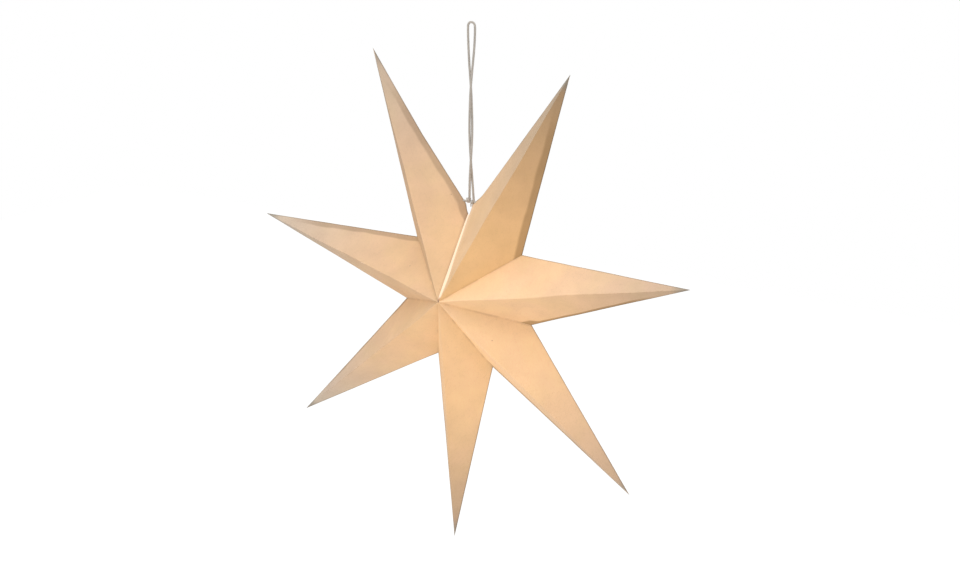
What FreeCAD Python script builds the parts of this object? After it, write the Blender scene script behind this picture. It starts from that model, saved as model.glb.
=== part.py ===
"""A seven-pointed folded-paper star lantern that hangs in a twisted loop of cord.

Units are millimetres. The origin is where a hook carries the cord's loop, +Z is up and
the star's front faces -Y. Each point of the star is one sheet, folded to a hollow
four-sided spike and glued to the next by narrow tabs along the valleys. The first and
the last point are not glued but tied at the top notch, which leaves an open slit.
"""
import FreeCAD, Part
import math
import os

from FreeCAD import Placement, Rotation, Vector

# Star, as seen from its front
POINTS = 7
TIP_RADIUS = 300.0
NOTCH_RADIUS = 91.0
HALF_DEPTH = 60.0
HUB_HOLE_RADIUS = 1.8

# Lean of each point in degrees, counter-clockwise, from the upper-left one clockwise round
POINT_LEANS = (1.0, -1.5, -4.0, -4.0, -4.0, -1.5, 3.0)

# Paper and its glue tabs
PAPER = 0.4
SIDE_TAB = 10.0
VALLEY_TAB = 14.0

# The tied notch: how far each free wall stands off the middle, at the hub and at its corner
FIRST_GAP_AT_HUB = 1.2
FIRST_GAP_AT_CORNER = 1.6
LAST_GAP_AT_HUB = 1.5
LAST_GAP_AT_CORNER = 9.0
LAST_CORNER_RISE = 11.5

# Tie through the two corners
TIE_ABOVE_NOTCH = 13.5
TIE_DIAMETER = 2.6
TIE_HOLE_CLEARANCE = 0.3
END_KNOT_DIAMETER = 4.6
END_KNOT_SET_IN = 6.4
KNOT_DIAMETER = 4.8
KNOT_X = 0.8
WRAP_DIAMETER = 4.4
WRAP_LENGTH = 2.6
WRAP_X = 7.0
CORD_SEAT = 0.8

# Hanging cord: X from the star's middle, Y, and height above the tie, from the knot up one
# strand, over the hook and down the other strand
CORD_DIAMETER = 2.8
CORD_TOP = 207.0
LOOP_LEFT = -0.8
LOOP_RIGHT = 8.8
CORD_ROUTE = (
    (KNOT_X, 0.0, KNOT_DIAMETER / 2 - CORD_SEAT),
    (1.2, -0.2, 15.0),
    (2.1, -0.9, 30.0),
    (2.9, -0.4, 45.0),
    (3.4, 0.6, 61.0),
    (3.4, 1.9, 77.0),
    (2.8, 2.9, 93.0),
    (1.9, 3.4, 109.0),
    (1.1, 3.5, 124.0),
    (0.4, 3.1, 139.0),
    (-0.3, 2.1, 154.0),
    (-0.6, 1.1, 169.0),
    (-0.7, 0.3, 183.0),
    (-0.9, 0.0, 195.0),
    (LOOP_LEFT, 0.0, CORD_TOP),
    (LOOP_RIGHT, 0.0, CORD_TOP),
    (8.7, 0.0, 195.0),
    (7.4, 1.0, 183.0),
    (5.9, 1.3, 169.0),
    (4.4, 0.9, 154.0),
    (3.5, -0.2, 139.0),
    (2.7, -0.7, 124.0),
    (1.9, -0.6, 109.0),
    (0.9, 0.1, 93.0),
    (0.3, 1.0, 77.0),
    (0.4, 2.2, 61.0),
    (1.0, 2.9, 45.0),
    (2.8, 2.4, 30.0),
    (5.2, 0.9, 15.0),
    (WRAP_X, 0.0, WRAP_DIAMETER / 2 - CORD_SEAT),
)
ARC_SHARE = 0.45

# Small battery lamp that hangs from the tie by a wire hook
LAMP_X = 4.45
HOOK_WIRE = 1.5
HOOK_SEAT_CLEARANCE = 0.12
HOOK_SOCKET_CLEARANCE = 0.05
HOOK_STRAIGHTENS_BELOW_TIE = 9.0
HOOK_TAIL = 4.0
HOOK_SOCKET_DEPTH = 4.0
HOUSING_TOP = 40.0
HOUSING_HEIGHT = 28.0
HOUSING_DIAMETER = 28.0
HOUSING_EDGE = 2.0
GLOBE_DIAMETER = 44.0
GLOBE_NECK_DIAMETER = 19.0

# Places that follow from the sizes above
STEP_ANGLE = 360 / POINTS
TIE_HEIGHT = NOTCH_RADIUS + TIE_ABOVE_NOTCH
STAR_X = -(LOOP_LEFT + LOOP_RIGHT) / 2
STAR_Z = -(TIE_HEIGHT + CORD_TOP - CORD_DIAMETER / 2)
TIE_Z = STAR_Z + TIE_HEIGHT
FRONT = Vector(0, -1, 0)
ROOM = 2.5 * (TIP_RADIUS + HALF_DEPTH)
BIG = 3 * ROOM


def on_star(radius, angle, forward=0.0):
    """A place at a radius and an angle in the star's plane, or forward of it."""
    turn = math.radians(angle)
    return Vector(STAR_X + radius * math.cos(turn), -forward, STAR_Z + radius * math.sin(turn))


def tip_angle(number):
    """Direction of a point, counted clockwise from the upper-left one."""
    lean = POINT_LEANS[number % POINTS % len(POINT_LEANS)]
    return 90 + STEP_ANGLE / 2 - number * STEP_ANGLE + lean


def notch_angle(number):
    """Direction of the notch that follows a point clockwise: halfway to the next tip."""
    return (tip_angle(number) + tip_angle(number + 1)) / 2


def wall_line(number, side):
    """Hub end and corner of a point's wall, on its clockwise (1) or other (-1) side."""
    notch = notch_angle(number) if side == 1 else notch_angle(number - 1)
    hub = on_star(0, 0)
    corner = on_star(NOTCH_RADIUS, notch)
    if (number, side) == (0, 1):
        hub -= Vector(FIRST_GAP_AT_HUB, 0, 0)
        corner -= Vector(FIRST_GAP_AT_CORNER, 0, 0)
    if (number, side) == (1, -1):
        hub += Vector(LAST_GAP_AT_HUB, 0, 0)
        corner += Vector(LAST_GAP_AT_CORNER, 0, LAST_CORNER_RISE)
    return hub, corner


def plane_through(first, second, third, inside):
    """A point on the plane of three places, and its normal away from the inside."""
    normal = (second - first).cross(third - first)
    normal.normalize()
    if normal.dot(inside - first) > 0:
        normal = normal * -1
    return first, normal


def beyond(place, normal):
    """Everything on the far side of a plane."""
    slab = Part.makeBox(BIG, BIG, BIG, Vector(-BIG / 2, -BIG / 2, 0))
    slab.Placement = Placement(place, Rotation(Vector(0, 0, 1), normal))
    return slab


def planes_of_point(number):
    """Six planes that bound a point: four flanks, then its two walls."""
    tip = on_star(TIP_RADIUS, tip_angle(number))
    inside = on_star(NOTCH_RADIUS, tip_angle(number))
    planes = []
    for side in (1, -1):
        corner = wall_line(number, side)[1]
        for forward in (HALF_DEPTH, -HALF_DEPTH):
            planes.append(plane_through(tip, corner, on_star(0, 0, forward), inside))
    for side in (1, -1):
        hub, corner = wall_line(number, side)
        planes.append(plane_through(hub, corner, hub + FRONT, inside))
    return planes


def block_inside(planes, inset):
    """The solid inside a set of planes, each moved inwards by the inset."""
    block = Part.makeBox(ROOM, ROOM, ROOM, Vector(-ROOM / 2, -ROOM / 2, STAR_Z - ROOM / 2))
    for place, normal in planes:
        block = block.cut(beyond(place - normal * inset, normal))
    return block


def wall_window(number, side):
    """The opening in a wall that leaves only the glue tabs along its two valleys."""
    hub, corner = wall_line(number, side)
    along = corner - hub
    reach = along.Length
    along.normalize()
    slope = math.atan2(HALF_DEPTH, reach)
    across = VALLEY_TAB / math.cos(slope)
    front = hub + FRONT * (HALF_DEPTH - across)
    back = hub - FRONT * (HALF_DEPTH - across)
    outer = hub + along * (reach - VALLEY_TAB / math.sin(slope))
    inner = hub - along * VALLEY_TAB
    places = [front, outer, back, back + inner - hub, front + inner - hub]
    outline = Part.Face(Part.makePolygon(places + [front]))
    through = along.cross(FRONT)
    through.normalize()
    depth = 2 * VALLEY_TAB
    outline.translate(through * (-depth / 2))
    return outline.extrude(through * depth)


def side_tab(number, planes):
    """The glue tab that lies inside the front flank along a point's clockwise edge."""
    tip = on_star(TIP_RADIUS, tip_angle(number))
    corner = wall_line(number, 1)[1]
    place, normal = planes[0]
    edge = tip - corner
    edge.normalize()
    inwards = edge.cross(normal)
    if inwards.dot(on_star(0, 0) - corner) < 0:
        inwards = inwards * -1
    layer = block_inside(planes, PAPER / 2)
    layer = layer.cut(beyond(place - normal * 2 * PAPER, normal * -1))
    return layer.cut(beyond(corner + inwards * SIDE_TAB, inwards))


def tie_end(number):
    """Place where the tie passes through the folded edge of a tied corner."""
    side = 1 if number == 0 else -1
    corner = wall_line(number, side)[1]
    tip = on_star(TIP_RADIUS, tip_angle(number))
    share = (TIE_Z - corner.z) / (tip.z - corner.z)
    return corner + (tip - corner) * share


def tie_hole(number):
    """Punched hole through the folded edge of a tied corner, along the tie."""
    outwards = -1 if number == 0 else 1
    radius = TIE_DIAMETER / 2 + TIE_HOLE_CLEARANCE
    start = tie_end(number) - Vector(outwards * END_KNOT_SET_IN, 0, 0)
    return Part.makeCylinder(radius, 2 * END_KNOT_SET_IN, start, Vector(outwards, 0, 0))


def star_point(number):
    """One folded sheet: four flanks, valley tabs on both sides and a side tab."""
    planes = planes_of_point(number)
    sheet = block_inside(planes, 0).cut(block_inside(planes, PAPER))
    for side in (1, -1):
        sheet = sheet.cut(wall_window(number, side))
    sheet = sheet.fuse(side_tab(number, planes))
    middle = on_star(0, 0, -BIG / 2)
    sheet = sheet.cut(Part.makeCylinder(HUB_HOLE_RADIUS, BIG, middle, FRONT))
    if number in (0, 1):
        sheet = sheet.cut(tie_hole(number))
    return sheet.removeSplitter()


def rounded_path(places):
    """Straight runs joined by tangent arcs as large as the runs allow."""
    edges = []
    start = places[0]
    radii = []
    for before, corner, after in zip(places, places[1:], places[2:]):
        back = before - corner
        on = after - corner
        trim = ARC_SHARE * min(back.Length, on.Length)
        half_turn = (math.pi - back.getAngle(on)) / 2
        back.normalize()
        on.normalize()
        radius = trim / math.tan(half_turn)
        first = corner + back * trim
        last = corner + on * trim
        inwards = back + on
        inwards.normalize()
        to_centre = math.hypot(radius, trim)
        middle = corner + inwards * (to_centre - radius)
        edges.append(Part.LineSegment(start, first).toShape())
        edges.append(Part.Arc(first, middle, last).toShape())
        start = last
        radii.append(radius)
    edges.append(Part.LineSegment(start, places[-1]).toShape())
    return Part.Wire(edges), radii


def round_tube(path, start, direction, diameter):
    """A round rod swept along a path."""
    ring = Part.Wire(Part.makeCircle(diameter / 2, start, direction))
    return path.makePipeShell([ring], True, False)


def hanging_cord():
    """The cord from the knot over the hook and back to the tie, as one tube."""
    places = [Vector(STAR_X + x, y, TIE_Z + height) for x, y, height in CORD_ROUTE]
    path, radii = rounded_path(places)
    print("hanging cord arc radii:", " ".join(f"{radius:.1f}" for radius in radii))
    tube = round_tube(path, places[0], places[1] - places[0], CORD_DIAMETER)
    section = math.pi * CORD_DIAMETER ** 2 / 4
    print(f"hanging cord length {path.Length:.1f}, volume {tube.Volume:.1f},",
          f"section times length {section * path.Length:.1f}")
    return tube


def notch_tie(cord):
    """The cord across the notch, with its knot, the wrap beside it and two end knots."""
    left = tie_end(0) - Vector(END_KNOT_SET_IN, 0, 0)
    right = tie_end(1) + Vector(END_KNOT_SET_IN, 0, 0)
    along = Vector(1, 0, 0)
    tie = Part.makeCylinder(TIE_DIAMETER / 2, right.x - left.x, left, along)
    for end in (left, right):
        tie = tie.fuse(Part.makeSphere(END_KNOT_DIAMETER / 2, end))
    knot = Vector(STAR_X + KNOT_X, 0, TIE_Z)
    wrap = Vector(STAR_X + WRAP_X - WRAP_LENGTH / 2, 0, TIE_Z)
    tie = tie.fuse(Part.makeSphere(KNOT_DIAMETER / 2, knot))
    tie = tie.fuse(Part.makeCylinder(WRAP_DIAMETER / 2, WRAP_LENGTH, wrap, along))
    return tie.cut(cord).removeSplitter()


def lamp_hook():
    """A wire that hooks over the tie and runs down into the lamp's housing."""
    bend = TIE_DIAMETER / 2 + HOOK_SEAT_CLEARANCE + HOOK_WIRE / 2
    x = STAR_X + LAMP_X
    tail = Vector(x, -bend, TIE_Z - HOOK_TAIL)
    front = Vector(x, -bend, TIE_Z)
    top = Vector(x, 0, TIE_Z + bend)
    back = Vector(x, bend, TIE_Z)
    straight = Vector(x, 0, TIE_Z - HOOK_STRAIGHTENS_BELOW_TIE)
    foot = Vector(x, 0, STAR_Z + HOUSING_TOP - HOOK_SOCKET_DEPTH)
    edges = [
        Part.LineSegment(tail, front).toShape(),
        Part.Arc(front, top, back).toShape(),
        Part.LineSegment(back, straight).toShape(),
        Part.LineSegment(straight, foot).toShape(),
    ]
    ring = Part.Wire(Part.makeCircle(HOOK_WIRE / 2, tail, Vector(0, 0, 1)))
    return Part.Wire(edges).makePipeShell([ring], True, False, 2)


def lamp_housing():
    """The closed battery housing, with a socket for the hook's foot."""
    foot = Vector(STAR_X + LAMP_X, 0, STAR_Z + HOUSING_TOP - HOUSING_HEIGHT)
    housing = Part.makeCylinder(HOUSING_DIAMETER / 2, HOUSING_HEIGHT, foot)
    rims = [edge for edge in housing.Edges if isinstance(edge.Curve, Part.Circle)]
    housing = housing.makeFillet(HOUSING_EDGE, rims)
    floor = Vector(foot.x, 0, STAR_Z + HOUSING_TOP - HOOK_SOCKET_DEPTH)
    socket = Part.makeCylinder(HOOK_WIRE / 2 + HOOK_SOCKET_CLEARANCE, HOOK_SOCKET_DEPTH, floor)
    return housing.cut(socket)


def lamp_globe():
    """The frosted globe, cut flat where its neck seats under the housing."""
    radius = GLOBE_DIAMETER / 2
    neck_height = math.sqrt(radius ** 2 - (GLOBE_NECK_DIAMETER / 2) ** 2)
    seat = STAR_Z + HOUSING_TOP - HOUSING_HEIGHT
    centre = Vector(STAR_X + LAMP_X, 0, seat - neck_height)
    globe = Part.makeSphere(radius, centre)
    return globe.cut(beyond(Vector(centre.x, 0, seat), Vector(0, 0, 1)))


def save(shape, node):
    """Write one piece and say what it is."""
    solids = shape.Solids
    print(f"{node}: {len(solids)} solid, {shape.Volume:.1f} mm3, valid {shape.isValid()}")
    piece = solids[0] if len(solids) == 1 else shape
    piece.exportStep(f"parts/{node}.step")


def build():
    """Make every piece of the lantern."""
    os.makedirs("parts", exist_ok=True)
    for number in range(POINTS):
        save(star_point(number), f"star_point_{number + 1}")
    cord = hanging_cord()
    save(cord, "hanging_cord")
    save(notch_tie(cord), "notch_tie")
    save(lamp_hook(), "lamp_hook")
    save(lamp_housing(), "lamp_housing")
    save(lamp_globe(), "lamp_globe")


build()
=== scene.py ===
"""Looks of a folded-paper star lantern that hangs in a twisted loop of cord.

Lengths are metres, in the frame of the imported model: the origin is where a hook carries the
cord's loop, +Z is up and the star's front faces -Y. The points are counted clockwise from the
upper-left one. The first and the last of them are tied, not glued, at the top notch.
"""
import math
from dataclasses import dataclass

import bpy
from bpy.props import FloatProperty, FloatVectorProperty, IntProperty, PointerProperty
from mathutils import Matrix, Vector, noise


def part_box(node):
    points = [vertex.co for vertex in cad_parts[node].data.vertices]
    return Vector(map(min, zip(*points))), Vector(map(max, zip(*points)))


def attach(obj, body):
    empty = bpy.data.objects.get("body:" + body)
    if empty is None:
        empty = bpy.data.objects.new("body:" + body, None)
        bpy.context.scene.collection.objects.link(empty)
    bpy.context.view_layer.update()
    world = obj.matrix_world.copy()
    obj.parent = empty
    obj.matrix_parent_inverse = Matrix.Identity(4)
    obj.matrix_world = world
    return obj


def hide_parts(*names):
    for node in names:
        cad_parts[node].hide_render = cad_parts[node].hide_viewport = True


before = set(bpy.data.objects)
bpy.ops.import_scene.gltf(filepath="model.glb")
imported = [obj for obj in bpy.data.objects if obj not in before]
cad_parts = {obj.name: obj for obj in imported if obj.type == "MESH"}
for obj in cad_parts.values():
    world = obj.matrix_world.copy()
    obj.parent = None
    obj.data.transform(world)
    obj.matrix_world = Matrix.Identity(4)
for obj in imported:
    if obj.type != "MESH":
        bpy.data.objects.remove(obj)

bl_info = {
    "name": "Folded paper star",
    "version": (1, 0, 0),
    "blender": (4, 5, 0),
    "location": "View3D > Sidebar > Paper star",
    "description": "Dresses a hanging paper star lantern with paper, cord and lamp finishes",
    "category": "Add Mesh",
}

MM = 0.001
FRONT = Vector((0, -1, 0))
UP = Vector((0, 0, 1))
POINTS = sum(name.startswith("star_point_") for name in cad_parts)

# Flanks and walls of a point, as shares that its second map carries for the paper's shader
FRONT_CLOCKWISE = 0.0
BACK_CLOCKWISE = 0.25
BACK_COUNTER = 0.5
FRONT_COUNTER = 0.75
WALL = 1.0
ZONE_CORE = 0.10
ZONE_EDGE = 0.125

# Columns on a fold, as shares across a flank, and rows of faces across a valley tab
ON_FOLD = (0.0, 1.0)
TAB_ROWS = 3

# Shares of a point or a flank over which its waves ease in, and what is left of them there
VALLEY_CALM = 0.10
TIP_CALM = 0.35
FOLD_CALM = 0.25
LEAST_AT_FOLD = 0.25
LEAST_AT_TIP = 0.3
SOFT_FROM_TIP = 0.1

# Scales of the waves and of the fold's wander, and their steps from point to point
WAVES_PER_METRE = 24
RIPPLES_PER_METRE = 75
STRAYS_PER_POINT = 4.2
WAVE_SEED = (3.7, 1.3, 2.1)
STRAY_SEED = (5.3, 0.7)

# The tie's pull: reaches below the tie and into the paper, in pull reaches
PULL_DROP = 1.4
PULL_DEPTH = 2

# The slit's bow and pinch: shares of the way from the hub to the notch
BOW_PLACE = 0.25
BOW_REACH = 0.12
PINCH_STARTS = (0.2, 0.6)
PINCH_ENDS = (0.97, 0.80)
LAST_PULL_POWER = 2.6

# Route of the hanging cord: X from the star's middle, Y, and height above the tie, in mm
CORD_ROUTE = (
    (0.8, 0.0, 1.6),
    (1.2, -0.2, 15.0),
    (2.1, -0.9, 30.0),
    (2.9, -0.4, 45.0),
    (3.4, 0.6, 61.0),
    (3.4, 1.9, 77.0),
    (2.8, 2.9, 93.0),
    (1.9, 3.4, 109.0),
    (1.1, 3.5, 124.0),
    (0.4, 3.1, 139.0),
    (-0.3, 2.1, 154.0),
    (-0.6, 1.1, 169.0),
    (-0.7, 0.3, 183.0),
    (-0.9, 0.0, 195.0),
    (-0.8, 0.0, 207.0),
    (8.8, 0.0, 207.0),
    (8.7, 0.0, 195.0),
    (7.4, 1.0, 183.0),
    (5.9, 1.3, 169.0),
    (4.4, 0.9, 154.0),
    (3.5, -0.2, 139.0),
    (2.7, -0.7, 124.0),
    (1.9, -0.6, 109.0),
    (0.9, 0.1, 93.0),
    (0.3, 1.0, 77.0),
    (0.4, 2.2, 61.0),
    (1.0, 2.9, 45.0),
    (2.8, 2.4, 30.0),
    (5.2, 0.9, 15.0),
    (7.0, 0.0, 1.4),
)


def length(name, description, default):
    """A size in metres for a settings group."""
    return FloatProperty(name=name, description=description, default=default, unit="LENGTH",
                         subtype="DISTANCE", precision=5)


def colour(name, description, default):
    """A colour for a settings group."""
    return FloatVectorProperty(name=name, description=description, default=default, size=3,
                               subtype="COLOR", min=0, soft_max=1)


def share(name, description, default):
    """A share of one for a settings group."""
    return FloatProperty(name=name, description=description, default=default, subtype="FACTOR",
                         min=0, soft_max=1)


class StarSizes(bpy.types.PropertyGroup):
    """Sizes of the seven folded sheets."""

    notch_radius: length("Notch radius", "From the star's middle to a notch", 0.091)
    half_depth: length("Half depth", "From the star's plane to its front and back", 0.060)
    hub_hole: length("Hub hole radius", "Small hole where the ridges meet", 0.0007)
    paper: length("Paper thickness", "Thickness of the card", 0.0004)
    side_tab: length("Side tab", "Width of the glue tab along a point's edge", 0.010)
    valley_tab: length("Valley tab", "Width of the glue tabs along the valleys", 0.014)
    first_gap_hub: length("First gap at hub", "Left wall of the slit, at the hub", 0.0010)
    first_gap_corner: length("First gap at corner", "Left wall of the slit, outside", 0.0016)
    last_gap_hub: length("Last gap at hub", "Right wall of the slit, at the hub", 0.0015)
    last_gap_corner: length("Last gap at corner", "Right wall of the slit, outside", 0.009)
    last_corner_rise: length("Last corner rise", "Lift of the right-hand tied corner", 0.0115)
    thin_tip: share("Thin tip", "Share of a point over which its card gets to full thickness", 0.05)
    rows: IntProperty(name="Rows", description="Rows of faces along a point", default=64)
    columns: IntProperty(name="Columns", description="Faces across a flank", default=16)
    wave: length("Wave", "Height of the long soft waves in the paper", 0.0012)
    ripple: length("Ripple", "Height of the short waves in the paper", 0.00022)
    wander: length("Fold wander", "How far a folded ridge strays from straight", 0.0012)
    fold_radius: length("Fold softness", "How far a fold's edge is rounded back", 0.0003)
    first_pull: length("First pull", "How far the tie pulls the left-hand fold out", 0.0064)
    last_pull: length("Last pull", "How far the tie pulls the right-hand corner in", 0.0040)
    pull_reach: length("Pull reach", "How far round the tie the paper gives way", 0.006)
    pull_rise: length("Pull rise", "How far up the left-hand fold the pull reaches", 0.070)
    slit_pinch: length("Slit pinch", "How far the slit's upper half is drawn in", 0.0010)
    slit_bow: length("Slit bow", "How far the slit's lower half stands open", 0.0008)


class PaperFinish(bpy.types.PropertyGroup):
    """Colours of the unbleached fibre paper and of the light behind it."""

    paper: colour("Paper", "Plain colour of the paper", (0.565, 0.410, 0.310))
    straw: colour("Straw", "Yellower colour of its soft patches", (0.545, 0.430, 0.275))
    fibre: colour("Fibre", "Colour of the darker fibres", (0.330, 0.240, 0.165))
    # The tip colour greys the paper at each tip, and it is also laid on one front flank as painted
    # cool light
    tip: colour("Tip", "Greyer colour of the tightly folded tips", (0.345, 0.315, 0.260))
    # The strip colour is painted shade where the doubled strip keeps back the lamp's light, and it
    # is also laid on one front flank as painted warm light
    strip: colour("Strip", "Browner colour of a doubled strip", (0.400, 0.250, 0.130))
    hub_glow: colour("Glow at the hub", "Lamp light through the paper", (0.420, 0.235, 0.085))
    tip_glow: colour("Glow at a tip", "Cooler light through the tips", (0.090, 0.130, 0.140))
    inside_glow: colour("Glow inside", "Paper lit by the lamp", (0.800, 0.640, 0.500))
    glow_from: share("Glow from", "Share of the way to a tip at which the glow fades", 0.20)
    glow_to: share("Glow to", "Share of the way to a tip at which it has gone", 1.20)
    strip_shade: share("Strip shade", "Light that a doubled strip keeps back", 0.50)
    strip_stray: length("Strip stray", "How far a strip's edge wanders", 0.004)


class CordSizes(bpy.types.PropertyGroup):
    """Sizes and colour of the twisted cord, its tie and its knots."""

    diameter: length("Cord diameter", "Thickness of the hanging cord", 0.0028)
    pitch: length("Twist pitch", "Length of one turn of the plies", 0.0085)
    tie_diameter: length("Tie diameter", "Thickness of the cord across the notch", 0.0026)
    tie_above_notch: length("Tie above notch", "Height of the tie over the notch", 0.0135)
    end_knot: length("End knot", "Diameter of the knots inside the corners", 0.0046)
    end_knot_slack: length("End knot slack", "How far the right-hand end runs on inside", 0.0035)
    tie_lift: length("Tie lift", "How far the weight draws the tie up", 0.0010)
    knot: length("Knot", "Diameter of the knot on the tie", 0.0070)
    knot_yarn: length("Knot yarn", "Half the thickness of the knot's turns", 0.0013)
    knot_x: length("Knot place", "From the star's middle to the knot", -0.0002)
    knot_lift: length("Knot lift", "How far the knot stands above the tie", 0.0016)
    wrap: length("Wrap", "Diameter of the wrap beside the knot", 0.0050)
    wrap_length: length("Wrap length", "Width of the wrap", 0.0042)
    wrap_x: length("Wrap place", "From the star's middle to the wrap", 0.0058)
    yarn: colour("Yarn", "Colour of the undyed yarn", (0.700, 0.650, 0.590))
    yarn_dark: colour("Yarn shade", "Colour between its fibres", (0.480, 0.435, 0.385))


class LampFinish(bpy.types.PropertyGroup):
    """Place and colours of the small lamp."""

    lamp_x: length("Lamp place", "From the star's middle to the lamp", 0.00445)
    housing_top: length("Housing top", "Height of the housing over the middle", 0.040)
    globe: colour("Globe", "Frosted globe", (0.86, 0.83, 0.76))
    globe_glow: colour("Globe glow", "Its warm light", (1.0, 0.72, 0.38))
    housing: colour("Housing", "Moulded housing", (0.80, 0.79, 0.76))
    steel: colour("Steel", "Drawn steel wire", (0.56, 0.55, 0.54))


class StageSetup(bpy.types.PropertyGroup):
    """Camera, lights and floor."""

    azimuth: FloatProperty(name="Azimuth", description="Camera's turn round the star",
                           default=math.radians(35.3), unit="ROTATION", subtype="ANGLE")
    elevation: FloatProperty(name="Elevation", description="Camera's height as an angle",
                             default=math.radians(14.7), unit="ROTATION", subtype="ANGLE")
    distance: length("Distance", "From the star's middle to the camera", 3.72)
    aim_right: length("Aim right", "How far right of the middle the camera aims", 0.0127)
    aim_up: length("Aim up", "How far above the middle the camera aims", -0.0026)
    lens: FloatProperty(name="Lens", description="Focal length on a 36 mm film", default=122.1,
                        unit="CAMERA")
    floor_drop: length("Floor drop", "From the star's middle down to the floor", 1.3)
    floor_size: length("Floor size", "Side of the floor", 9.0)
    sky: share("Sky", "Plain light from all round", 0.72)
    overhead: FloatProperty(name="Overhead light", description="Large lamp above the star",
                            default=20.0, unit="POWER")
    left: FloatProperty(name="Left light", description="Soft cool lamp at the upper left",
                        default=4.0, unit="POWER")
    right: FloatProperty(name="Right light", description="Soft warm lamp at the right",
                         default=7.0, unit="POWER")


def star_middle():
    """The star's middle, from where the lamp's housing hangs in it."""
    lamp = bpy.context.scene.lamp_finish
    low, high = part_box("lamp_housing")
    return Vector(((low[0] + high[0]) / 2 - lamp.lamp_x, 0, high[2] - lamp.housing_top))


def star_tips():
    """Tips of the points, as the frame's solids have them."""
    middle = star_middle()
    tips = []
    for number in range(POINTS):
        places = [vertex.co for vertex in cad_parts[f"star_point_{number + 1}"].data.vertices]
        tips.append(max(places, key=lambda place: (place - middle).length).copy())
    return tips


def smooth(low, high, value):
    """An eased step from 0 at the low value to 1 at the high one."""
    level = min(max((value - low) / (high - low), 0.0), 1.0)
    return level * level * (3 - 2 * level)


def off_line(place, start, end):
    """Distance of a place from the line through two others."""
    along = (end - start).normalized()
    return (place - start).cross(along).length


def new_piece(name, vertices, faces, materials=()):
    """A smooth-shaded mesh that rides on the one body."""
    mesh = bpy.data.meshes.new(name)
    mesh.from_pydata(vertices, [], faces)
    for material in materials:
        mesh.materials.append(material)
    mesh.shade_smooth()
    piece = bpy.data.objects.new(name, mesh)
    bpy.context.scene.collection.objects.link(piece)
    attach(piece, "root")
    return piece


class Socket:
    """An output of a shader node. Python's operators on it add Math nodes."""

    def __init__(self, graph, output):
        self.graph = graph
        self.output = output

    def other(self, name):
        """Another output of the same node."""
        return Socket(self.graph, self.output.node.outputs[name])

    def __add__(self, other):
        return self.graph.math("ADD", self, other)

    def __radd__(self, other):
        return self.graph.math("ADD", other, self)

    def __sub__(self, other):
        return self.graph.math("SUBTRACT", self, other)

    def __rsub__(self, other):
        return self.graph.math("SUBTRACT", other, self)

    def __mul__(self, other):
        return self.graph.math("MULTIPLY", self, other)

    def __rmul__(self, other):
        return self.graph.math("MULTIPLY", other, self)

    def __truediv__(self, other):
        return self.graph.math("DIVIDE", self, other)

    def __abs__(self):
        return self.graph.math("ABSOLUTE", self)


class Graph:
    """The nodes of one material or of the world."""

    def __init__(self, name, tree=None):
        self.material = None
        if tree is None:
            self.material = bpy.data.materials.new(name)
            self.material.use_nodes = True
            tree = self.material.node_tree
        self.tree = tree
        tree.nodes.clear()

    def add(self, kind, settings=None, sockets=None, output=0):
        """One node: its settings first, then the values or links of its sockets."""
        node = self.tree.nodes.new("ShaderNode" + kind)
        for key, value in (settings or {}).items():
            setattr(node, key, value)
        for key, value in (sockets or {}).items():
            if isinstance(value, Socket):
                self.tree.links.new(value.output, node.inputs[key])
            elif isinstance(value, (int, float)):
                node.inputs[key].default_value = value
            else:
                room = len(node.inputs[key].default_value)
                node.inputs[key].default_value = (*value, 1.0)[:room]
        return Socket(self, node.outputs[output]) if node.outputs else None

    def math(self, operation, first, second=0.0):
        return self.add("Math", {"operation": operation}, {0: first, 1: second})

    def step(self, value, low, high):
        """An eased step from 0 at the low value to 1 at the high one."""
        sockets = {"Value": value, "From Min": low, "From Max": high, "To Min": 0.0, "To Max": 1.0}
        return self.add("MapRange", {"interpolation_type": "SMOOTHSTEP"}, sockets)

    def mix(self, factor, first, second):
        """One colour that turns into another."""
        return self.add("Mix", {"data_type": "RGBA"}, {0: factor, 6: first, 7: second}, 2)

    def scaled(self, colour_socket, factor):
        """A colour times a number."""
        return self.add("VectorMath", {"operation": "SCALE"}, {0: colour_socket, 3: factor})

    def noise(self, place, scale, detail=2.0, roughness=0.5):
        sockets = {"Vector": place, "Scale": scale, "Detail": detail, "Roughness": roughness}
        return self.add("TexNoise", {}, sockets)

    def stretched(self, place, scales):
        """A place with its axes stretched apart."""
        return self.add("VectorMath", {"operation": "MULTIPLY"}, {0: place, 1: scales})

    def near(self, distance, reach, core=0.0):
        """One within the core, fading to 0 at the reach."""
        return 1 - self.step(distance, core, reach)

    def near_axis(self, place, middle):
        """One on the star's own axis through its hub, fading to 0 a few millimetres off."""
        out = self.add("VectorMath", {"operation": "SUBTRACT"}, {0: place, 1: middle})
        out = self.stretched(out, (1.0, 0.0, 1.0))
        out = self.add("VectorMath", {"operation": "LENGTH"}, {0: out}, "Value")
        return self.near(out, core=0.0018, reach=0.006)

    def surface(self, tint, roughness, height, bump, glow=None, constants=None):
        """The material with one shader on it. Its bump is a strength and a depth in metres."""
        relief = {"Height": height, "Strength": bump[0], "Distance": bump[1]}
        sockets = {"Base Color": tint, "Roughness": roughness,
                   "Normal": self.add("Bump", {}, relief)}
        if glow is not None:
            sockets.update({"Emission Color": glow, "Emission Strength": 1.0})
        sockets.update(constants or {})
        return self.finish(self.add("BsdfPrincipled", {}, sockets))

    def finish(self, shader, kind="OutputMaterial"):
        self.add(kind, {}, {"Surface": shader})
        return self.material


def varied(field, amount):
    """A factor round one that rises by the amount as the field goes from 0 to 1."""
    return 1 + amount * (field - 0.5)


def toned(tint, level):
    """A colour made lighter or darker."""
    return [level * channel for channel in tint]


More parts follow.
